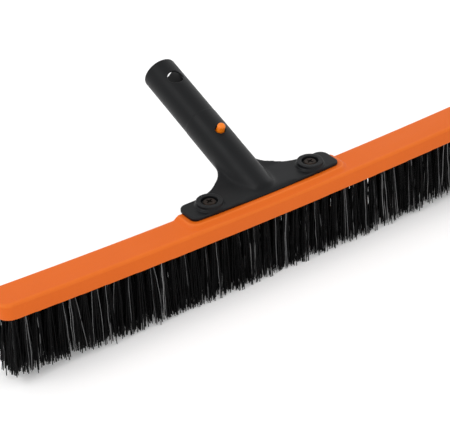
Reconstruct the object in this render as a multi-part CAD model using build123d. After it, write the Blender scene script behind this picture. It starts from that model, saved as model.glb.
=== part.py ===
from build123d import *
from functools import cache
import math
import os

# Pool wall brush, 18 inch: arched brush body with five rows of tufts, a screwed-on handle whose
# hollow spigot slides into a telescopic pole, and the two-button spring clip that locks the pole.
#
# The frame is X along the brush, Y back towards the pole, Z up, with the middle bristle tips on Z = 0.
# Distances named ..._Y are measured from the middle of the body's width, and heights above the
# body's underside, until place_in_frame() moves every piece into the frame.

# Brush body
LENGTH = 457.0
BODY_TOP_WIDTH = 26.5
BODY_BOTTOM_WIDTH = 30.3
BODY_HEIGHT = 11.9
BODY_CORNER_RADIUS = 10.0
BODY_TOP_ROUND = 2.0
BODY_BOTTOM_ROUND = 0.6
ARCH_RISE = 4.8

# Raised land that the handle stands on
LAND_HEIGHT = 2.7
LAND_HALF_LENGTH = 70.0
LAND_FRONT_Y = -6.4
LAND_BULGE = 1.6
LAND_SLOPE = 3.4
LAND_CORNER_RADIUS = 7.0
LAND_BACK_Y = 12.95
LAND_SINK = 1.0

# Tufts and their wire anchors
ROW_Y = (-10.4, -5.2, 0.0, 5.2, 10.4)
TUFT_PITCH = 9.17
TUFT_END_MARGIN = 8.3
TUFT_HOLE_DIAMETER = 4.2
TUFT_HOLE_DEPTH = 7.0
TUFT_TIP_DIAMETER = 6.6
BRISTLE_LENGTH = 49.6
BRISTLE_TRIM = 4.4
ANCHOR_WIDTH = 4.0
ANCHOR_THICKNESS = 0.6
ANCHOR_HEIGHT = 2.2

# Handle foot
FOOT_HALF_LENGTH = 66.5
FOOT_FRONT_Y = -3.0
FOOT_BULGE = 1.6
FOOT_BACK_Y = 19.0
FOOT_FRONT_RADIUS = 5.0
FOOT_BACK_RADIUS = 7.0
FOOT_THICKNESS = 2.7
WEB_ARC_X = 52.4
WEB_ARC_RADIUS = 41.0
WEB_END_X = 16.0
WEB_TAIL_X = 12.0
WEB_TAIL_Y = 54.0
WEB_OVERLAP = 10.0
WEB_CREASE_Y = 24.0
WEB_BACK_Y = 60.0
WEB_SLOPE = 0.192
WEB_EXTRA_THICKNESS = 1.2

# Screw bosses and screws
SCREW_SPACING = 91.5
SCREW_Y = 7.0
BOSS_RADIUS = 10.0
BOSS_STEP_RADIUS = 11.0
BOSS_HEIGHT = 6.5
BOSS_STEP_HEIGHT = 3.9
RECESS_RADIUS = 6.4
SCREW_SEAT = 3.3
SCREW_HOLE_RADIUS = 2.6
SCREW_RADIUS = 2.4
SCREW_LENGTH = 9.7
SCREW_HEAD_RADIUS = 4.9
SCREW_HEAD_HEIGHT = 2.5
SCREW_HEAD_ROUND = 1.2
CROSS_SLOT_LENGTH = 5.4
CROSS_SLOT_WIDTH = 1.2
CROSS_SLOT_DEPTH = 1.5
CROSS_SLOT_TURN = 20

# Hollow spigot: its axis crosses Y = 0 at SPIGOT_AXIS_HEIGHT and rises towards the pole
SPIGOT_TILT = 19.5
SPIGOT_AXIS_HEIGHT = 6.5
SPIGOT_REACH = 148.5
SPIGOT_RADIUS = 14.0
SLIDE_RADIUS = 13.82
SLIDE_LENGTH = 60.0
BORE_MOUTH_RADIUS = 12.3
BORE_END_RADIUS = 11.0
BORE_DEPTH = 118.5
SPIGOT_RIM_ROUND = 0.8
SPIGOT_SPARE = 20.0
NOSE_CENTRE_Y = 11.8
NOSE_RADIUS = 14.2
NOSE_SHOULDER_RADIUS = 10.4
NOSE_SHOULDER_HEIGHT = 22.6
NOSE_TOP_HEIGHT = 27.2
NOSE_GAP = 0.4
SPIGOT_FRONT_Y = 16.4
SPIGOT_UNDERSIDE = 2.0
CROSS_HOLE_RADIUS = 6.2
CROSS_HOLE_FROM_END = 20.3
BUTTON_HOLE_RADIUS = 3.9
BUTTON_HOLE_FROM_END = 82.7

# Spring clip, measured from the spigot's open end and from its axis
BUTTON_RADIUS = 3.1
BUTTON_FROM_END = 83.0
BUTTON_TOP = 19.0
BUTTON_DOME = 1.8
CLIP_WIDTH = 8.0
CLIP_THICKNESS = 2.2
CLIP_OUTER = 9.9
CLIP_TIP_FROM_END = 73.7
CLIP_PIVOT_FROM_END = 112.7
CLIP_BOW_FROM_END = 118.0
CLIP_BOW_ROUND = 3.4
CLIP_PIVOT_GAP = 0.3

# Cutting and sorting: how far cutters start outside a surface, a reach well past every piece, and
# the X that the middle tufts stay to the right of
CUT_MARGIN = 2.0
FAR = 300.0
SPLIT_X = -1.0

# Derived places
TILT = math.radians(SPIGOT_TILT)
ARCH_RADIUS = (LENGTH / 2) ** 2 / (2 * ARCH_RISE) + ARCH_RISE / 2
LAND_TOP = BODY_HEIGHT + LAND_HEIGHT
FOOT_TOP = LAND_TOP + FOOT_THICKNESS
SPIGOT_END_Y = SPIGOT_REACH * math.cos(TILT)
SPIGOT_END_HEIGHT = SPIGOT_AXIS_HEIGHT + SPIGOT_REACH * math.sin(TILT)
OVERALL_FRONT_Y = -BODY_BOTTOM_WIDTH / 2
OVERALL_BACK_Y = SPIGOT_END_Y + (SLIDE_RADIUS - SPIGOT_RIM_ROUND) * math.sin(TILT)
MIDDLE_Y = (OVERALL_FRONT_Y + OVERALL_BACK_Y) / 2
TO_FRAME = Location((0, -MIDDLE_Y, BRISTLE_LENGTH))
TO_SPIGOT = Location((0, SPIGOT_END_Y, SPIGOT_END_HEIGHT), (SPIGOT_TILT, 0, 0))


def place_in_frame(shapes):
    """The pieces moved from body coordinates into the frame, bristle tips on Z = 0."""
    return [TO_FRAME * shape for shape in shapes]


def on_arch(x, y):
    """Place on the body's underside, x along the arch, with Z square to the underside."""
    lean = math.degrees(x / ARCH_RADIUS)
    return Location((0, 0, ARCH_RADIUS)) * Location((0, 0, 0), (0, -lean, 0)) * Location((0, y, -ARCH_RADIUS))


def prism_yz(face, half_width):
    """A solid of the YZ outline, from -half_width to +half_width along X."""
    return extrude(Plane.YZ * face, amount=half_width, both=True)


def upright_cylinder(x, y, radius, low, high):
    """A cylinder along Z between two heights."""
    return Location((x, y, (low + high) / 2)) * Cylinder(radius, high - low)


def tuft_length(x):
    """Bristle length at x: trimmed shorter towards the ends of the brush."""
    return BRISTLE_LENGTH - BRISTLE_TRIM * (x / (LENGTH / 2)) ** 2


def tuft_places(row):
    """Distances along the arch of a row's tufts; every second row is shifted by half a pitch."""
    shift = TUFT_PITCH / 2 if row % 2 else 0.0
    reach = LENGTH / 2 - TUFT_END_MARGIN
    count = int(2 * reach / TUFT_PITCH) + 2
    places = [(i - count // 2) * TUFT_PITCH + shift for i in range(count + 1)]
    return [x for x in places if abs(x) <= reach]


def bowed_outline(half_length, front_y, bulge, back_y, front_radius, back_radius):
    """A plan outline with a slightly bowed front edge and rounded corners."""
    left_back = (-half_length, back_y)
    left_front = (-half_length, front_y)
    right_front = (half_length, front_y)
    right_back = (half_length, back_y)
    edges = [
        Line(left_back, left_front),
        ThreePointArc(left_front, (0, front_y - bulge), right_front),
        Line(right_front, right_back),
        Line(right_back, left_back),
    ]
    face = make_face(edges)
    corners = face.vertices().sort_by(Axis.Y)
    face = fillet(corners[0:2], front_radius)
    if back_radius:
        face = fillet(face.vertices().sort_by(Axis.Y)[-2:], back_radius)
    return face


def brush_body():
    """Arched moulded block with the raised land, tuft holes and two screw pilot holes."""
    half_low = BODY_BOTTOM_WIDTH / 2
    half_top = BODY_TOP_WIDTH / 2
    section = make_face(Polyline(
        (-half_low, 0), (half_low, 0), (half_top, BODY_HEIGHT), (-half_top, BODY_HEIGHT), close=True))
    low_corners = section.vertices().sort_by(Axis.Y)[0:2]
    section = fillet(low_corners, BODY_BOTTOM_ROUND)
    section = fillet(section.vertices().sort_by(Axis.Y)[-2:], BODY_TOP_ROUND)
    arch_axis = Axis((0, 0, ARCH_RADIUS), (0, 1, 0))
    half_angle = math.degrees((LENGTH / 2 + CUT_MARGIN) / ARCH_RADIUS)
    body = revolve((Plane.YZ * section).rotate(arch_axis, -half_angle), arch_axis, 2 * half_angle)
    plan = RectangleRounded(LENGTH, BODY_BOTTOM_WIDTH, BODY_CORNER_RADIUS)
    body = body & extrude(plan, amount=FAR, both=True)
    body += land()
    hole = upright_cylinder(0, 0, TUFT_HOLE_DIAMETER / 2, -CUT_MARGIN, TUFT_HOLE_DEPTH)
    for row, y in enumerate(ROW_Y):
        body -= [on_arch(x, y) * hole for x in tuft_places(row)]
    for side in (-1, 1):
        x = side * SCREW_SPACING / 2
        low = LAND_TOP + SCREW_SEAT - SCREW_LENGTH
        body -= upright_cylinder(x, SCREW_Y, SCREW_RADIUS, low, LAND_TOP + CUT_MARGIN)
    return [body.solid()]


def land():
    """The raised land: sloped front and ends, flush with the body's back edge."""
    foot_level = BODY_HEIGHT - LAND_SINK
    grow = LAND_SLOPE * (LAND_TOP - foot_level) / LAND_HEIGHT
    low = bowed_outline(
        LAND_HALF_LENGTH + grow, LAND_FRONT_Y - grow, LAND_BULGE, LAND_BACK_Y, LAND_CORNER_RADIUS + grow, 0)
    high = bowed_outline(
        LAND_HALF_LENGTH, LAND_FRONT_Y, LAND_BULGE, LAND_BACK_Y, LAND_CORNER_RADIUS, 0)
    return loft([Location((0, 0, foot_level)) * low, Location((0, 0, LAND_TOP)) * high])


@cache
def tuft(length):
    """A bundle of bristles that widens from its hole to its tips, folded over its anchor."""
    root = Location((0, 0, TUFT_HOLE_DEPTH / 2)) * Cylinder(TUFT_HOLE_DIAMETER / 2, TUFT_HOLE_DEPTH)
    brush = Cone(TUFT_TIP_DIAMETER / 2, TUFT_HOLE_DIAMETER / 2, length)
    return root + Location((0, 0, -length / 2)) * brush - anchor()


def tuft_row(row):
    """The row's tufts."""
    return [on_arch(x, ROW_Y[row]) * tuft(tuft_length(abs(x))) for x in tuft_places(row)]


def anchor():
    """Flat wire anchor that a tuft is folded over, at the bottom of its hole."""
    height = TUFT_HOLE_DEPTH - ANCHOR_HEIGHT / 2
    return Location((0, 0, height)) * Box(ANCHOR_WIDTH, ANCHOR_THICKNESS, ANCHOR_HEIGHT)


def anchor_row(row):
    """The row's wire anchors."""
    return [on_arch(x, ROW_Y[row]) * anchor() for x in tuft_places(row)]


def halves(solids):
    """The solids left of the middle, and the rest."""
    left = [s for s in solids if s.center().X < SPLIT_X]
    right = [s for s in solids if s.center().X >= SPLIT_X]
    return left, right


def foot_plan():
    """Plan outline of the foot: plate, rounded ends and the concave sides of the web."""
    plate = bowed_outline(
        FOOT_HALF_LENGTH, FOOT_FRONT_Y, FOOT_BULGE, FOOT_BACK_Y, FOOT_FRONT_RADIUS, FOOT_BACK_RADIUS)
    arc_y = FOOT_BACK_Y + WEB_ARC_RADIUS
    end_angle = math.acos((WEB_ARC_X - WEB_END_X) / WEB_ARC_RADIUS)
    end_y = arc_y - WEB_ARC_RADIUS * math.sin(end_angle)
    mid_angle = (end_angle + math.pi / 2) / 2
    mid_x = WEB_ARC_X - WEB_ARC_RADIUS * math.cos(mid_angle)
    mid_y = arc_y - WEB_ARC_RADIUS * math.sin(mid_angle)
    start_y = FOOT_BACK_Y - WEB_OVERLAP
    web = make_face([
        ThreePointArc((-WEB_ARC_X, FOOT_BACK_Y), (-mid_x, mid_y), (-WEB_END_X, end_y)),
        Line((-WEB_END_X, end_y), (-WEB_TAIL_X, WEB_TAIL_Y)),
        Line((-WEB_TAIL_X, WEB_TAIL_Y), (WEB_TAIL_X, WEB_TAIL_Y)),
        Line((WEB_TAIL_X, WEB_TAIL_Y), (WEB_END_X, end_y)),
        ThreePointArc((WEB_END_X, end_y), (mid_x, mid_y), (WEB_ARC_X, FOOT_BACK_Y)),
        Line((WEB_ARC_X, FOOT_BACK_Y), (WEB_ARC_X, start_y)),
        Line((WEB_ARC_X, start_y), (-WEB_ARC_X, start_y)),
        Line((-WEB_ARC_X, start_y), (-WEB_ARC_X, FOOT_BACK_Y)),
    ])
    return plate + web


def foot_flange():
    """The plate on the land and the web that rises behind the body to the spigot."""
    rise = WEB_SLOPE * (WEB_BACK_Y - WEB_CREASE_Y)
    side = make_face(Polyline(
        (-FAR, LAND_TOP), (WEB_CREASE_Y, LAND_TOP), (WEB_BACK_Y, LAND_TOP + rise - WEB_EXTRA_THICKNESS),
        (WEB_BACK_Y, FOOT_TOP + rise), (WEB_CREASE_Y, FOOT_TOP), (-FAR, FOOT_TOP), close=True))
    return extrude(foot_plan(), amount=FAR, both=True) & prism_yz(side, FAR)


def spigot_blank():
    """The outside of the spigot, slimmer where the pole slides on, with its rounded nose over the plate."""
    length = SPIGOT_REACH + SPIGOT_SPARE - SLIDE_LENGTH
    thick = Location((0, -SLIDE_LENGTH - length / 2, 0), (90, 0, 0)) * Cylinder(SPIGOT_RADIUS, length)
    slide = Cylinder(SLIDE_RADIUS, SLIDE_LENGTH)
    slide = fillet(slide.edges().group_by(Axis.Z)[0], SPIGOT_RIM_ROUND)
    rod = TO_SPIGOT * (thick + Location((0, -SLIDE_LENGTH / 2, 0), (90, 0, 0)) * slide)
    low = LAND_TOP + NOSE_GAP
    behind = make_face(Polyline(
        (SPIGOT_FRONT_Y, SPIGOT_UNDERSIDE), (SPIGOT_FRONT_Y, low), (NOSE_CENTRE_Y, low), (NOSE_CENTRE_Y, FAR),
        (FAR, FAR), (FAR, SPIGOT_UNDERSIDE), close=True))
    return rod & (prism_yz(behind, FAR) + nose_dome(low))


def nose_dome(low):
    """Round-fronted dome that the spigot's lower end is trimmed to."""
    profile = make_face([
        Line((0, low), (NOSE_RADIUS, low)),
        ThreePointArc((NOSE_RADIUS, low), (NOSE_SHOULDER_RADIUS, NOSE_SHOULDER_HEIGHT), (0, NOSE_TOP_HEIGHT)),
        Line((0, NOSE_TOP_HEIGHT), (0, low)),
    ])
    return Location((0, NOSE_CENTRE_Y, 0)) * revolve(Plane.XZ * profile, Axis.Z, 360)


def across_spigot(from_end, radius):
    """A cutter square to the spigot's axis, through both of its walls."""
    return TO_SPIGOT * (Location((0, -from_end, 0)) * Cylinder(radius, 4 * SPIGOT_RADIUS))


def handle():
    """One moulding: foot, bosses and hollow spigot."""
    part = foot_flange() + spigot_blank()
    for side in (-1, 1):
        x = side * SCREW_SPACING / 2
        part += upright_cylinder(x, SCREW_Y, BOSS_STEP_RADIUS, LAND_TOP, LAND_TOP + BOSS_STEP_HEIGHT)
        part += upright_cylinder(x, SCREW_Y, BOSS_RADIUS, LAND_TOP, LAND_TOP + BOSS_HEIGHT)
    for side in (-1, 1):
        x = side * SCREW_SPACING / 2
        part -= upright_cylinder(x, SCREW_Y, RECESS_RADIUS, LAND_TOP + SCREW_SEAT, FAR)
        part -= upright_cylinder(x, SCREW_Y, SCREW_HOLE_RADIUS, -FAR, FAR)
    bore = Cone(BORE_MOUTH_RADIUS, BORE_END_RADIUS, BORE_DEPTH)
    part -= TO_SPIGOT * (Location((0, -BORE_DEPTH / 2, 0), (90, 0, 0)) * bore)
    part -= across_spigot(CROSS_HOLE_FROM_END, CROSS_HOLE_RADIUS)
    part -= across_spigot(BUTTON_HOLE_FROM_END, BUTTON_HOLE_RADIUS)
    return [part.solid()]


def screw(side):
    """Pan-head screw with a cross recess, through a boss into the body."""
    x = side * SCREW_SPACING / 2
    seat = LAND_TOP + SCREW_SEAT
    head = Cylinder(SCREW_HEAD_RADIUS, SCREW_HEAD_HEIGHT)
    head = fillet(head.edges().group_by(Axis.Z)[-1], SCREW_HEAD_ROUND)
    part = Location((x, SCREW_Y, seat + SCREW_HEAD_HEIGHT / 2)) * head
    part += upright_cylinder(x, SCREW_Y, SCREW_RADIUS, seat - SCREW_LENGTH, seat)
    slot = Box(CROSS_SLOT_LENGTH, CROSS_SLOT_WIDTH, 2 * CROSS_SLOT_DEPTH)
    slot = Location((0, 0, seat + SCREW_HEAD_HEIGHT)) * slot
    for turn in (CROSS_SLOT_TURN, CROSS_SLOT_TURN + 90):
        part -= Location((x, SCREW_Y, 0), (0, 0, turn)) * slot
    return [part.solid()]


def clip_bow():
    """The fixed bend at the inner end of the spring clip."""
    start = -(CLIP_PIVOT_FROM_END + CLIP_THICKNESS / 2 + CLIP_PIVOT_GAP)
    end = -CLIP_BOW_FROM_END
    inner = CLIP_OUTER - CLIP_THICKNESS
    outer_face = make_face(Polyline(
        (start, -CLIP_OUTER), (start, CLIP_OUTER), (end, CLIP_OUTER), (end, -CLIP_OUTER), close=True))
    outer_face = fillet(outer_face.vertices().sort_by(Axis.X)[0:2], CLIP_BOW_ROUND)
    inner_end = end + CLIP_THICKNESS
    inner_face = make_face(Polyline(
        (start + CUT_MARGIN, -inner), (start + CUT_MARGIN, inner), (inner_end, inner), (inner_end, -inner),
        close=True))
    inner_face = fillet(inner_face.vertices().sort_by(Axis.X)[0:2], CLIP_BOW_ROUND - CLIP_THICKNESS)
    bow = prism_yz(outer_face - inner_face, CLIP_WIDTH / 2)
    return [(TO_SPIGOT * bow).solid()]


def clip_arm(side):
    """One leg of the spring clip with its domed button; side is +1 above the axis, -1 below."""
    middle = CLIP_OUTER - CLIP_THICKNESS / 2
    length = CLIP_PIVOT_FROM_END - CLIP_TIP_FROM_END
    strip = Location((0, -CLIP_PIVOT_FROM_END + length / 2, middle)) * Box(CLIP_WIDTH, length, CLIP_THICKNESS)
    knuckle = Cylinder(CLIP_THICKNESS / 2, CLIP_WIDTH)
    knuckle = Location((0, -CLIP_PIVOT_FROM_END, middle), (0, 90, 0)) * knuckle
    height = BUTTON_TOP - middle
    button = Cylinder(BUTTON_RADIUS, height)
    button = fillet(button.edges().group_by(Axis.Z)[-1], BUTTON_DOME)
    arm = strip + knuckle + Location((0, -BUTTON_FROM_END, middle + height / 2)) * button
    if side < 0:
        arm = mirror(arm, Plane.XY)
    return [(TO_SPIGOT * arm).solid()]


def all_nodes():
    """Every piece of the brush, node name to solids."""
    nodes = {
        "brush_body": brush_body(),
        "handle": handle(),
        "screw_left": screw(-1),
        "screw_right": screw(1),
        "clip_bow": clip_bow(),
        "clip_arm_upper": clip_arm(1),
        "clip_arm_lower": clip_arm(-1),
    }
    for row in range(len(ROW_Y)):
        left, right = halves(tuft_row(row))
        nodes[f"tuft_row_{row + 1}_left"] = left
        nodes[f"tuft_row_{row + 1}_right"] = right
        nodes[f"tuft_anchors_row_{row + 1}"] = anchor_row(row)
    return nodes


os.makedirs("parts", exist_ok=True)
for name, solids in all_nodes().items():
    placed = place_in_frame(solids)
    shape = placed[0] if len(placed) == 1 else Compound(children=placed)
    export_step(shape, f"parts/{name}.step")
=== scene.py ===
import math

import bmesh
import bpy
import numpy as np
from mathutils import Matrix, Vector


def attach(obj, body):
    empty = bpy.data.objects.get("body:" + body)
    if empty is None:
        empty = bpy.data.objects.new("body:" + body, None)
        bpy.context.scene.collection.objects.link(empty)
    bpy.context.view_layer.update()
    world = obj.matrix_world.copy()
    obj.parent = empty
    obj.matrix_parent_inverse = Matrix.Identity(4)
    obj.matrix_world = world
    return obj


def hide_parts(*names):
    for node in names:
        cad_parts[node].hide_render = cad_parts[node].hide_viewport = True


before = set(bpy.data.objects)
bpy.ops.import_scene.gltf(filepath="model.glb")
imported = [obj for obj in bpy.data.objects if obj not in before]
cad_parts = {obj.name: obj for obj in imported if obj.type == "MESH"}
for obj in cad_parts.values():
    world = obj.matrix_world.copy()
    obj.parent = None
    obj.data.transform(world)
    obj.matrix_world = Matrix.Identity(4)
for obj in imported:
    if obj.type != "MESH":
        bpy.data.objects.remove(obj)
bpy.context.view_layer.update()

MM = 0.001

# Places repeated from the CAD, in mm: body coordinates have Y from the middle of the body's width
# and heights above the body's underside.
MIDDLE_Y = 64.589
BRISTLE_LENGTH = 49.6
BRISTLE_TRIM = 4.4
LENGTH = 457.0
BODY_TOP_WIDTH = 26.5
BODY_BOTTOM_WIDTH = 30.3
BODY_HEIGHT = 11.9
BODY_CORNER_RADIUS = 10.0
BODY_TOP_ROUND = 2.2
ARCH_RISE = 4.8
ARCH_RADIUS = (LENGTH / 2) ** 2 / (2 * ARCH_RISE) + ARCH_RISE / 2
LAND_TOP = 14.6
LAND_SINK = 1.0
LAND_GROW = 4.66
LAND_HALF_LENGTH = 70.0
LAND_FRONT_Y = -6.4
LAND_BACK_Y = 13.1
LAND_BULGE = 1.6
LAND_CORNER_RADIUS = 7.0
ROW_Y = (-10.4, -5.2, 0.0, 5.2, 10.4)
TUFT_PITCH = 9.17
TUFT_END_MARGIN = 8.3

# Fineness of the built meshes
BODY_VOXEL = 0.6
HANDLE_VOXEL = 0.5
BODY_STATIONS = 90
BODY_ARC_STEPS = 12
BODY_ROUND_STEPS = 5
LAND_STATIONS = 24
LAND_ARC_STEPS = 10
SOFTEN_BODY = 5
SOFTEN_HANDLE = 4
SOFTEN_NOSE = 160


def to_frame(x, y, z):
    """Body coordinates in mm to the part's frame in metres."""
    return (x * MM, (y - MIDDLE_Y) * MM, (z + BRISTLE_LENGTH) * MM)


# ---------------------------------------------------------------- materials

# Painted highlight on raised edges that face up: the rise in pointiness from none to full, and the same for
# the normal's upward part
HIGHLIGHT_RANGE = 0.044
FACING_UP = (0.2, 0.4)

class Nodes:
    """Small helper that adds linked nodes to a material."""

    def __init__(self, name):
        self.material = bpy.data.materials.new(name)
        self.material.use_nodes = True
        self.tree = self.material.node_tree
        self.shader = self.tree.nodes["Principled BSDF"]
        self.coordinates = self.add("ShaderNodeTexCoord")
        self.place = self.coordinates.outputs["Object"]

    def add(self, kind, **values):
        node = self.tree.nodes.new(kind)
        for key, value in values.items():
            setattr(node, key, value)
        return node

    def put(self, value, socket):
        if hasattr(value, "is_output"):
            self.tree.links.new(value, socket)
        else:
            socket.default_value = value

    def noise(self, scale, detail=2.0, rough=0.5, stretch=(1, 1, 1)):
        mapping = self.add("ShaderNodeMapping")
        self.put(self.place, mapping.inputs["Vector"])
        mapping.inputs["Scale"].default_value = stretch
        node = self.add("ShaderNodeTexNoise")
        self.put(mapping.outputs["Vector"], node.inputs["Vector"])
        node.inputs["Scale"].default_value = scale
        node.inputs["Detail"].default_value = detail
        node.inputs["Roughness"].default_value = rough
        return node.outputs["Fac"]

    def cells(self, scale):
        node = self.add("ShaderNodeTexVoronoi")
        self.put(self.place, node.inputs["Vector"])
        node.inputs["Scale"].default_value = scale
        return node.outputs["Distance"]

    def map(self, value, low, high, to_low, to_high):
        node = self.add("ShaderNodeMapRange")
        self.put(value, node.inputs["Value"])
        node.inputs["From Min"].default_value = low
        node.inputs["From Max"].default_value = high
        node.inputs["To Min"].default_value = to_low
        node.inputs["To Max"].default_value = to_high
        return node.outputs["Result"]

    def math(self, operation, a, b):
        node = self.add("ShaderNodeMath", operation=operation)
        self.put(a, node.inputs[0])
        self.put(b, node.inputs[1])
        return node.outputs[0]

    def mix(self, factor, a, b):
        node = self.add("ShaderNodeMix", data_type="RGBA")
        self.put(factor, node.inputs[0])
        self.put(a, node.inputs[6])
        self.put(b, node.inputs[7])
        return node.outputs[2]

    def bump(self, height, strength, distance, under=None):
        node = self.add("ShaderNodeBump")
        node.inputs["Strength"].default_value = strength
        node.inputs["Distance"].default_value = distance
        self.put(height, node.inputs["Height"])
        if under is not None:
            self.put(under, node.inputs["Normal"])
        return node.outputs["Normal"]

    def edges(self, low, high):
        """Mask for the painted edge highlight: 0 on faces, rising to 1 along raised edges that face up."""
        geometry = self.add("ShaderNodeNewGeometry")
        raised = self.map(geometry.outputs["Pointiness"], low, high, 0.0, 1.0)
        split = self.add("ShaderNodeSeparateXYZ")
        self.put(self.coordinates.outputs["Normal"], split.inputs[0])
        facing = self.map(split.outputs["Z"], *FACING_UP, 0.0, 1.0)
        return self.math("MULTIPLY", raised, facing)

    def set(self, **values):
        for key, value in values.items():
            self.put(value, self.shader.inputs[key.replace("_", " ")])
        return self.material


def rgb(r, g, b):
    return (r, g, b, 1.0)


def moulded(name, colour, dark, edge_highlight, roughness, gloss, grain=0.12, flow=0.05, highlight_share=0.35,
            highlight_from=0.506, patchy=0.2):
    """Moulded plastic: faint flow marks, fine spark-eroded grain, and a painted highlight that makes the
    upper edges a little lighter.

    A low patchy breaks the painted edge highlight up, and 1 makes it even.
    """
    n = Nodes(name)
    broad = n.noise(14.0, 3.0, 0.6)
    fine = n.noise(900.0, 2.0, 0.6)
    streaks = n.noise(55.0, 3.0, 0.55, stretch=(0.25, 1.0, 1.0))
    tone = n.math("ADD", n.map(broad, 0.3, 0.7, 0.0, 0.6), n.map(fine, 0.3, 0.7, 0.0, 0.4))
    base = n.mix(tone, rgb(*dark), rgb(*colour))
    # Painted highlight: raised edges that face up are mixed towards a lighter colour, in patches
    patches = n.map(n.noise(160.0, 3.0), 0.35, 0.65, patchy, 1.0)
    painted_highlight = n.math("MULTIPLY", n.edges(highlight_from, highlight_from + HIGHLIGHT_RANGE), patches)
    base = n.mix(n.math("MULTIPLY", painted_highlight, highlight_share), base, rgb(*edge_highlight))
    rough = n.math("ADD", n.map(streaks, 0.3, 0.7, roughness - 0.05, roughness + 0.05),
                   n.map(fine, 0.2, 0.8, -0.04, 0.04))
    normal = n.bump(n.noise(2600.0, 2.0, 0.55), grain, 0.0002)
    normal = n.bump(n.cells(700.0), grain * 0.5, 0.0002, normal)
    normal = n.bump(streaks, flow, 0.0008, normal)
    return n.set(Base_Color=base, Roughness=rough, Normal=normal, Specular_IOR_Level=gloss)


def plated(name, colour, dark, roughness):
    """Plated steel screw: fine bumps, darker stains placed at random."""
    n = Nodes(name)
    stains = n.noise(420.0, 4.0, 0.65)
    base = n.mix(n.map(stains, 0.35, 0.65, 0.0, 1.0), rgb(*dark), rgb(*colour))
    rough = n.map(n.noise(1500.0, 2.0), 0.3, 0.7, roughness - 0.08, roughness + 0.1)
    normal = n.bump(n.noise(3200.0, 2.0, 0.6), 0.25, 0.0002)
    return n.set(Base_Color=base, Roughness=rough, Normal=normal, Metallic=0.85)


def nylon(name):
    """Nylon filament: each one has its own tone, most near black, a few grey, all slightly glossy."""
    n = Nodes(name)
    tone = n.add("ShaderNodeAttribute", attribute_name="tone").outputs["Fac"]
    ramp = n.add("ShaderNodeValToRGB")
    n.put(tone, ramp.inputs["Fac"])
    stops = ramp.color_ramp.elements
    stops[0].position = 0.0
    stops[0].color = rgb(0.0008, 0.0008, 0.0009)
    stops[1].position = 1.0
    stops[1].color = rgb(0.40, 0.40, 0.40)
    for position, level in ((0.70, 0.0012), (0.90, 0.003), (0.940, 0.006), (0.943, 0.11)):
        stop = stops.new(position)
        stop.color = rgb(level, level, level * 1.04)
    scuffs = n.map(n.noise(900.0, 2.0), 0.3, 0.7, 0.0, 1.0)
    base = n.mix(n.math("MULTIPLY", scuffs, 0.35), ramp.outputs["Color"], rgb(0.004, 0.004, 0.0045))
    rough = n.map(n.noise(1400.0, 2.0), 0.3, 0.7, 0.32, 0.48)
    normal = n.bump(n.noise(4000.0, 1.0), 0.15, 0.0001)
    return n.set(Base_Color=base, Roughness=rough, Normal=normal, Specular_IOR_Level=0.10)


# The lighter edge colour given to each plastic below is a painted highlight along its upper edges
ORANGE = moulded("orange_body_plastic", colour=(0.72, 0.131, 0.006), dark=(0.67, 0.115, 0.005),
                 edge_highlight=(0.90, 0.25, 0.04), roughness=0.46, gloss=0.20, highlight_share=0.8,
                 highlight_from=0.502, patchy=0.75)
BLACK = moulded("black_handle_plastic", colour=(0.0070, 0.0074, 0.0082), dark=(0.0045, 0.0050, 0.0058),
                edge_highlight=(0.035, 0.035, 0.036), roughness=0.42, gloss=0.16, grain=0.16)
BUTTON = moulded("orange_button_plastic", colour=(0.90, 0.22, 0.006), dark=(0.84, 0.19, 0.005),
                 edge_highlight=(0.95, 0.33, 0.04), roughness=0.28, gloss=0.35, grain=0.04, flow=0.02)
SCREW = plated("bronze_screw", (0.034, 0.022, 0.016), (0.012, 0.009, 0.007), 0.48)
WIRE = plated("anchor_wire", (0.55, 0.55, 0.56), (0.40, 0.40, 0.41), 0.32)
NYLON = nylon("black_nylon_filament")


# ---------------------------------------------------------------- mesh helpers

def new_object(name, mesh, material):
    obj = bpy.data.objects.new(name, mesh)
    bpy.context.scene.collection.objects.link(obj)
    mesh.materials.clear()
    mesh.materials.append(material)
    return obj


def settled(obj):
    """Replaces the object's mesh by what its modifiers make of it, and drops the modifiers."""
    bpy.context.view_layer.update()
    done = bpy.data.meshes.new_from_object(obj.evaluated_get(bpy.context.evaluated_depsgraph_get()))
    obj.modifiers.clear()
    obj.data = done


def cad_copy(node, name, material):
    """A new object with a welded copy of a CAD node's mesh."""
    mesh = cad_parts[node].data.copy()
    bm = bmesh.new()
    bm.from_mesh(mesh)
    bmesh.ops.remove_doubles(bm, verts=bm.verts, dist=1e-6)
    bm.to_mesh(mesh)
    bm.free()
    return new_object(name, mesh, material)


def remesh(obj, voxel):
    mod = obj.modifiers.new("remesh", "REMESH")
    mod.mode = "VOXEL"
    mod.voxel_size = voxel
    mod.use_smooth_shade = True
    settled(obj)


def relax(obj, rounds, weight=None):
    """Rounds the edges by smoothing; weight maps a point to 0..1 to keep it local."""
    mod = obj.modifiers.new("relax", "SMOOTH")
    mod.factor = 0.5
    mod.iterations = rounds
    if weight is not None:
        group = obj.vertex_groups.new(name="relax")
        for vertex in obj.data.vertices:
            share = weight(vertex.co)
            if share > 0.0:
                group.add([vertex.index], share, "REPLACE")
        mod.vertex_group = "relax"
    settled(obj)
    obj.vertex_groups.clear()


def smooth_step(value, low, high):
    t = min(1.0, max(0.0, (value - low) / (high - low)))
    return t * t * (3 - 2 * t)


# ---------------------------------------------------------------- brush body

def arch_height(x):
    """Height of the body's underside above its middle, at x."""
    return ARCH_RADIUS - math.sqrt(ARCH_RADIUS ** 2 - x * x)


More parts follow.
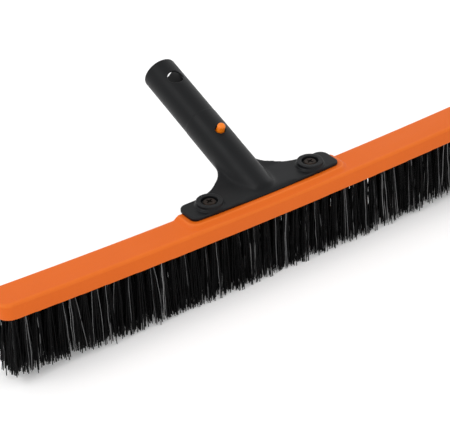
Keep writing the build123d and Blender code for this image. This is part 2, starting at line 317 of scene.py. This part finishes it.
def body_ring(inset, z):
    """The body's rounded-end plan outline, inset by that much, as body points at height z."""
    share = z / BODY_HEIGHT
    half_width = BODY_BOTTOM_WIDTH / 2 + (BODY_TOP_WIDTH - BODY_BOTTOM_WIDTH) / 2 * share - inset
    half_length = LENGTH / 2 - inset
    radius = BODY_CORNER_RADIUS * (half_width + inset) / (BODY_BOTTOM_WIDTH / 2) - inset
    straight = half_length - radius
    front = []
    for i in range(BODY_STATIONS + 1):
        front.append((-straight + 2 * straight * i / BODY_STATIONS, -half_width))
    right = []
    for i in range(1, BODY_ARC_STEPS + 1):
        angle = -math.pi / 2 + math.pi / 2 * i / BODY_ARC_STEPS
        right.append((straight + radius * math.cos(angle), -half_width + radius + radius * math.sin(angle)))
    left = [(-x, y) for x, y in reversed(right)]
    half = left + front + right
    ring = half + [(x, -y) for x, y in reversed(half)]
    return [to_frame(x, y, z + arch_height(x)) for x, y in ring], len(half)


def build_body():
    """The arched block, its rounded top edge, and the raised land, joined and softened."""
    levels = [(0.0, 0.0)]
    for i in range(BODY_ROUND_STEPS + 1):
        angle = math.pi / 2 * i / BODY_ROUND_STEPS
        inset = BODY_TOP_ROUND * (1 - math.cos(angle))
        levels.append((inset, BODY_HEIGHT - BODY_TOP_ROUND * (1 - math.sin(angle))))
    points = []
    faces = []
    for inset, z in levels:
        ring, half = body_ring(inset, z)
        points += ring
    count = 2 * half
    for level in range(len(levels) - 1):
        a = level * count
        b = a + count
        for i in range(count):
            j = (i + 1) % count
            faces.append((a + i, a + j, b + j, b + i))
    for base, flip in ((0, True), ((len(levels) - 1) * count, False)):
        for i in range(half - 1):
            quad = (base + i, base + i + 1, base + count - 2 - i, base + count - 1 - i)
            faces.append(tuple(reversed(quad)) if flip else quad)
    mesh = bpy.data.meshes.new("brush_body_shell")
    mesh.from_pydata(points, [], faces)
    bm = bmesh.new()
    bm.from_mesh(mesh)
    add_land(bm)
    bmesh.ops.recalc_face_normals(bm, faces=bm.faces)
    bm.to_mesh(mesh)
    bm.free()
    obj = new_object("brush_body_shell", mesh, ORANGE)
    remesh(obj, BODY_VOXEL * MM)
    relax(obj, SOFTEN_BODY)
    return obj


def land_ring(grow):
    """Plan outline of the land with its bowed front, grown outwards by that much."""
    half = LAND_HALF_LENGTH + grow
    front = LAND_FRONT_Y - grow
    radius = LAND_CORNER_RADIUS + grow
    ring = []
    for i in range(LAND_ARC_STEPS + 1):
        angle = math.pi + math.pi / 2 * i / LAND_ARC_STEPS
        ring.append((-half + radius + radius * math.cos(angle), front + radius + radius * math.sin(angle)))
    for i in range(1, LAND_STATIONS):
        ring.append((-half + radius + 2 * (half - radius) * i / LAND_STATIONS, front))
    for i in range(LAND_ARC_STEPS + 1):
        angle = -math.pi / 2 + math.pi / 2 * i / LAND_ARC_STEPS
        ring.append((half - radius + radius * math.cos(angle), front + radius + radius * math.sin(angle)))
    bowed = [(x, y - LAND_BULGE * (1 - (x / half) ** 2)) for x, y in ring]
    return bowed + [(half, LAND_BACK_Y), (-half, LAND_BACK_Y)]


def add_land(bm):
    """The raised land as a closed block, from inside the body to its top."""
    low = [bm.verts.new(to_frame(x, y, BODY_HEIGHT - LAND_SINK)) for x, y in land_ring(LAND_GROW)]
    high = [bm.verts.new(to_frame(x, y, LAND_TOP)) for x, y in land_ring(0.0)]
    count = len(low)
    for i in range(count):
        j = (i + 1) % count
        bm.faces.new((low[i], low[j], high[j], high[i]))
    bm.faces.new(high)
    bm.faces.new(list(reversed(low)))


body = build_body()
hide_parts("brush_body")
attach(body, "brush")


# ---------------------------------------------------------------- handle

# Where the wide fillets fade: low and high ends of each fade, in body coordinates
NOSE_SIDE = (19.0, 26.0)
NOSE_UNDER = (15.4, 17.2)
NOSE_OVER = (26.0, 42.0)
NOSE_BACK = (45.0, 60.0)


def nose_share(point):
    """1 where the spigot meets the foot, fading out around it."""
    x = abs(point.x) / MM
    y = point.y / MM + MIDDLE_Y
    z = point.z / MM - BRISTLE_LENGTH
    sideways = 1 - smooth_step(x, *NOSE_SIDE)
    upwards = 1 - smooth_step(z, *NOSE_OVER)
    above = smooth_step(z, *NOSE_UNDER)
    return sideways * upwards * above * (1 - smooth_step(y, *NOSE_BACK))


def build_handle():
    """The handle's CAD shape with every edge softened and wide fillets round the spigot's foot."""
    obj = cad_copy("handle", "handle_shell", BLACK)
    remesh(obj, HANDLE_VOXEL * MM)
    relax(obj, SOFTEN_NOSE, nose_share)
    relax(obj, SOFTEN_HANDLE)
    return obj


handle = build_handle()
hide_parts("handle")
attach(handle, "brush")


# ---------------------------------------------------------------- bristles

FILAMENTS = 28
FILAMENT_RADIUS = 0.38
FILAMENT_SIDES = 4
FILAMENT_STEPS = 12
ROOT_DEPTH = 3.0
ROOT_SPREAD = 1.85
TIP_SPREAD = 4.9
FRONT_LIMIT = BODY_BOTTOM_WIDTH / 2 + 1.5
FLOOR_GAP = 0.15
LEAN_POWER = 0.85
OUTER_LEAN = 0.6
END_SPLAY = 2.2
END_SPLAY_POWER = 12

# Places where neighbouring tufts have parted. Each runs slantwise through the rows, and a few are deep:
# the tips lean by PARTING_LEAN plus up to PARTING_DEEP, and less with the distance from the parting.
PARTINGS = 22
PARTING_SEED = 7
PARTING_REACH = 205
PARTING_SHIFT = 13
PARTING_LEAN = 0.4
PARTING_DEEP = 3.4
PARTING_SLANT = 0.66
PARTING_FADE = 7.0

# Each filament draws a number from 0 to 1: low ones stray and stand out, high ones are broken off short
STRAY_BELOW = 0.045
STRAY_ALONG = 3.4
STRAY_ACROSS = 1.0
SHORT_ABOVE = 0.96
ODD_LENGTH = (1.0, 6.0)

# Crimp of the nylon: height and length of its waves
CRIMP = (0.10, 0.30)
CRIMP_WAVE = (4.6, 6.2)

# Tones run from 0 to 1, and those above GREY_TONE are grey and thinner
GREY_TONE = 0.942
GREY_THINNING = 0.74
STRAY_TONE = 0.9
FRONT_GREY_TONE = 0.96
FRONT_GREY_SHARE = 0.12


def tuft_places(row):
    shift = TUFT_PITCH / 2 if row % 2 else 0.0
    reach = LENGTH / 2 - TUFT_END_MARGIN
    count = int(2 * reach / TUFT_PITCH) + 2
    places = [(i - count // 2) * TUFT_PITCH + shift for i in range(count + 1)]
    return [x for x in places if abs(x) <= reach]


def parting(x, y):
    """Sideways lean of the tips, in mm, where neighbouring tufts have parted, for a row at that y."""
    rng = np.random.RandomState(PARTING_SEED)
    lean = np.zeros_like(x)
    shift = rng.uniform(-PARTING_SHIFT, PARTING_SHIFT, PARTINGS)
    for centre in np.linspace(-PARTING_REACH, PARTING_REACH, PARTINGS) + shift:
        away = x - centre - PARTING_SLANT * y
        most = PARTING_LEAN + PARTING_DEEP * rng.uniform(0, 1) ** 2
        lean += np.sign(away) * most * np.exp(-np.abs(away) / PARTING_FADE)
    return lean


def per_tuft(rng, scale, n):
    """One random offset for each tuft, repeated for its filaments."""
    return np.repeat(rng.normal(0.0, scale, n // FILAMENTS), FILAMENTS)


def tip_offsets(rng, row, x0, ray, spread):
    """Tips measured from the middles of their tufts, and the number that makes a filament odd."""
    n = len(x0)
    outward = (row - 2) / 2.0
    tip = ray * (spread * TIP_SPREAD + rng.normal(0, 0.5, n))[:, None]
    tip[:, 0] += per_tuft(rng, 0.6, n) + parting(x0, ROW_Y[row]) + rng.normal(0, 0.7, n)
    tip[:, 0] += END_SPLAY * (np.abs(x0) / (LENGTH / 2)) ** END_SPLAY_POWER * np.sign(x0)
    tip[:, 1] += per_tuft(rng, 0.4, n) + outward * OUTER_LEAN + rng.normal(0, 0.4, n)
    kind = rng.uniform(0, 1, n)
    stray = kind < STRAY_BELOW
    tip[:, 0] += np.where(stray, rng.normal(0, STRAY_ALONG, n), 0.0)
    tip[:, 1] += np.where(stray, rng.normal(0, STRAY_ACROSS, n), 0.0)
    tip[:, 1] = np.clip(ROW_Y[row] + tip[:, 1], -FRONT_LIMIT, FRONT_LIMIT) - ROW_Y[row]
    return tip, kind


def filament_lengths(rng, x0, tip_x, kind):
    """Trimmed lengths below the body, a few odd ones, all kept just above the floor."""
    n = len(x0)
    length = BRISTLE_LENGTH - BRISTLE_TRIM * (x0 / (LENGTH / 2)) ** 2
    length += rng.normal(0.4, 0.45, n) + per_tuft(rng, 0.45, n)
    length += np.where(kind < STRAY_BELOW, rng.uniform(*ODD_LENGTH, n), 0.0)
    length -= np.where(kind > SHORT_ABOVE, rng.uniform(*ODD_LENGTH, n), 0.0)
    turn = x0 / ARCH_RADIUS
    floor = ARCH_RADIUS + BRISTLE_LENGTH - FLOOR_GAP
    room = (floor + tip_x * np.sin(turn)) / np.cos(turn) - ARCH_RADIUS
    return np.minimum(length, room)


def filament_tones(rng, kind, in_front):
    """Tone of each filament from 0 to 1, with some grey ones on the brush's front face."""
    n = len(kind)
    tone = rng.uniform(0, 1, n)
    tone = np.where(kind < STRAY_BELOW, np.minimum(tone, STRAY_TONE), tone)
    return np.where(in_front & (rng.uniform(0, 1, n) < FRONT_GREY_SHARE), FRONT_GREY_TONE, tone)


def arched(x0, local_x, depth):
    """X and height of points that hang square to the arched body, from its underside at its middle."""
    turn = (x0 / ARCH_RADIUS)[:, None]
    reach = ARCH_RADIUS + depth
    x = reach * np.sin(turn) + local_x * np.cos(turn)
    z = ARCH_RADIUS - reach * np.cos(turn) + local_x * np.sin(turn)
    return x, z


def filaments(row, places, rng):
    """A row's filaments: centre lines as an array (filament, step, xyz) in the frame, radii and tones."""
    n = len(places) * FILAMENTS
    x0 = np.repeat(np.array(places), FILAMENTS)
    angle = rng.uniform(0, 2 * math.pi, n)
    spread = np.sqrt(rng.uniform(0, 1, n))
    ray = np.stack([np.cos(angle), np.sin(angle)], 1)
    root = ray * (spread * ROOT_SPREAD)[:, None]
    tip, kind = tip_offsets(rng, row, x0, ray, spread)
    bend = rng.normal(0, 0.5, (n, 2))
    length = filament_lengths(rng, x0, tip[:, 0], kind)
    crimp = rng.uniform(*CRIMP, n)
    wave = rng.uniform(*CRIMP_WAVE, n)
    phase = rng.uniform(0, 2 * math.pi, n)
    plane = rng.uniform(0, math.pi, n)
    in_front = (row == 0) & (ray[:, 1] < -0.45) & (spread > 0.6)
    tone = filament_tones(rng, kind, in_front)
    thinning = np.where(tone > GREY_TONE, GREY_THINNING, 1.0)
    radius = FILAMENT_RADIUS * rng.uniform(0.85, 1.12, n) * thinning

    t = np.linspace(0, 1, FILAMENT_STEPS + 1)[None, :]
    whole = (length + ROOT_DEPTH)[:, None]
    lean = t ** LEAN_POWER
    ripple = crimp[:, None] * np.sin(2 * math.pi * t * whole / wave[:, None] + phase[:, None])
    ripple = ripple * np.minimum(1.0, t * 4)
    bow = np.sin(math.pi * t)
    local_x = root[:, :1] + (tip[:, :1] - root[:, :1]) * lean + bend[:, :1] * bow
    local_y = root[:, 1:] + (tip[:, 1:] - root[:, 1:]) * lean + bend[:, 1:] * bow
    local_x = local_x + ripple * np.cos(plane)[:, None]
    local_y = local_y + ripple * np.sin(plane)[:, None]
    x, z = arched(x0, local_x, t * whole - ROOT_DEPTH)
    y = ROW_Y[row] + local_y - MIDDLE_Y
    return np.stack([x, y, z + BRISTLE_LENGTH], 2) * MM, radius * MM, tone


def bristle_object(name, row, places, seed):
    """One mesh of closed four-sided filaments."""
    lines, radius, tone = filaments(row, places, np.random.RandomState(seed))
    n, steps = lines.shape[:2]
    sides = FILAMENT_SIDES
    around = np.arange(sides) * 2 * math.pi / sides
    ring = np.stack([np.cos(around), np.sin(around), np.zeros(sides)], 1)
    points = lines[:, :, None, :] + ring[None, None] * radius[:, None, None, None]
    points = points.reshape(-1, 3)
    index = np.arange(n * steps * sides).reshape(n, steps, sides)
    a = index[:, :-1]
    b = index[:, 1:]
    walls = np.stack([a, b, np.roll(b, -1, 2), np.roll(a, -1, 2)], 3).reshape(-1, 4)
    caps = np.concatenate([index[:, 0], index[:, -1, ::-1]])
    quads = np.concatenate([walls, caps])
    mesh = bpy.data.meshes.new(name)
    mesh.vertices.add(len(points))
    mesh.vertices.foreach_set("co", points.astype(np.float32).ravel())
    mesh.loops.add(quads.size)
    mesh.loops.foreach_set("vertex_index", quads.astype(np.int32).ravel())
    mesh.polygons.add(len(quads))
    mesh.polygons.foreach_set("loop_start", np.arange(0, quads.size, 4, dtype=np.int32))
    smooth = np.ones(len(quads), bool)
    smooth[len(walls):] = False
    mesh.polygons.foreach_set("use_smooth", smooth)
    mesh.update(calc_edges=True)
    attribute = mesh.attributes.new("tone", "FLOAT", "POINT")
    attribute.data.foreach_set("value", np.repeat(tone, steps * sides).astype(np.float32))
    return new_object(name, mesh, NYLON)


def add_bristles(row, side, places, seed):
    piece = bristle_object(f"bristles_row_{row + 1}_{side}", row, places, seed)
    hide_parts(f"tuft_row_{row + 1}_{side}")
    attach(piece, "brush")


FIRST_SEED = 100
SPLIT_X = -1
for row in range(len(ROW_Y)):
    places = tuft_places(row)
    add_bristles(row, "left", [x for x in places if x < SPLIT_X], FIRST_SEED + 10 * row + 1)
    add_bristles(row, "right", [x for x in places if x >= SPLIT_X], FIRST_SEED + 10 * row)


# ---------------------------------------------------------------- carried-over CAD nodes

FINISH = {"clip": BUTTON, "screw": SCREW, "tuft_anchors": WIRE}
for name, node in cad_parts.items():
    for start, material in FINISH.items():
        if name.startswith(start):
            node.data.materials.clear()
            node.data.materials.append(material)


# ---------------------------------------------------------------- stage, light, camera

FLOOR_HALF = 8.0
FLOOR_GLOW = 0.15
WORLD_STRENGTH = 0.92
LIGHT_TARGET = (0, 0, 0.04)
CAMERA_AZIMUTH = math.radians(-33.58)
CAMERA_ELEVATION = math.radians(32.48)
CAMERA_ROLL = math.radians(-2.52)
CAMERA_DISTANCE = 1.2287
CAMERA_TARGET = Vector(to_frame(-24.25, 19.72, -6.05))
SENSOR_WIDTH = 36.0
LENS = 132.116


def stage_floor():
    mesh = bpy.data.meshes.new("floor")
    corners = [(-FLOOR_HALF, -FLOOR_HALF, 0), (FLOOR_HALF, -FLOOR_HALF, 0),
               (FLOOR_HALF, FLOOR_HALF, 0), (-FLOOR_HALF, FLOOR_HALF, 0)]
    mesh.from_pydata(corners, [], [(0, 1, 2, 3)])
    n = Nodes("pale_floor")
    base = n.mix(n.noise(3.0, 2.0), rgb(0.90, 0.90, 0.90), rgb(0.92, 0.92, 0.92))
    n.set(Base_Color=base, Roughness=0.9, Emission_Color=rgb(1, 1, 1), Emission_Strength=FLOOR_GLOW)
    new_object("floor", mesh, n.material)


def area_light(name, place, size, power):
    data = bpy.data.lights.new(name, "AREA")
    data.shape = "RECTANGLE"
    data.size, data.size_y = size
    data.energy = power
    light = bpy.data.objects.new(name, data)
    light.location = place
    light.rotation_mode = "QUATERNION"
    light.rotation_quaternion = (Vector(LIGHT_TARGET) - Vector(place)).to_track_quat("-Z", "Y")
    bpy.context.scene.collection.objects.link(light)


def white_world():
    world = bpy.data.worlds.new("studio")
    bpy.context.scene.world = world
    world.use_nodes = True
    background = world.node_tree.nodes["Background"]
    background.inputs["Color"].default_value = rgb(1.0, 1.0, 1.0)
    background.inputs["Strength"].default_value = WORLD_STRENGTH


def place_camera():
    level = math.cos(CAMERA_ELEVATION)
    back = Vector((
        math.sin(CAMERA_AZIMUTH) * level,
        -math.cos(CAMERA_AZIMUTH) * level,
        math.sin(CAMERA_ELEVATION),
    ))
    right = Vector((math.cos(CAMERA_AZIMUTH), math.sin(CAMERA_AZIMUTH), 0.0))
    up = back.cross(right)
    image_right = right * math.cos(CAMERA_ROLL) + up * math.sin(CAMERA_ROLL)
    image_up = up * math.cos(CAMERA_ROLL) - right * math.sin(CAMERA_ROLL)
    data = bpy.data.cameras.new("camera")
    data.sensor_width = SENSOR_WIDTH
    data.lens = LENS
    camera = bpy.data.objects.new("camera", data)
    turn = Matrix((image_right, image_up, back)).transposed().to_4x4()
    camera.matrix_world = Matrix.Translation(CAMERA_TARGET + back * CAMERA_DISTANCE) @ turn
    bpy.context.scene.collection.objects.link(camera)
    bpy.context.scene.camera = camera


stage_floor()
white_world()
area_light("key", (-1.1, 0.1, 1.5), (0.9, 0.9), 8.0)
area_light("side", (1.3, 0.2, 0.9), (0.8, 0.8), 2.0)
place_camera()
bpy.context.scene.view_settings.view_transform = "Standard"
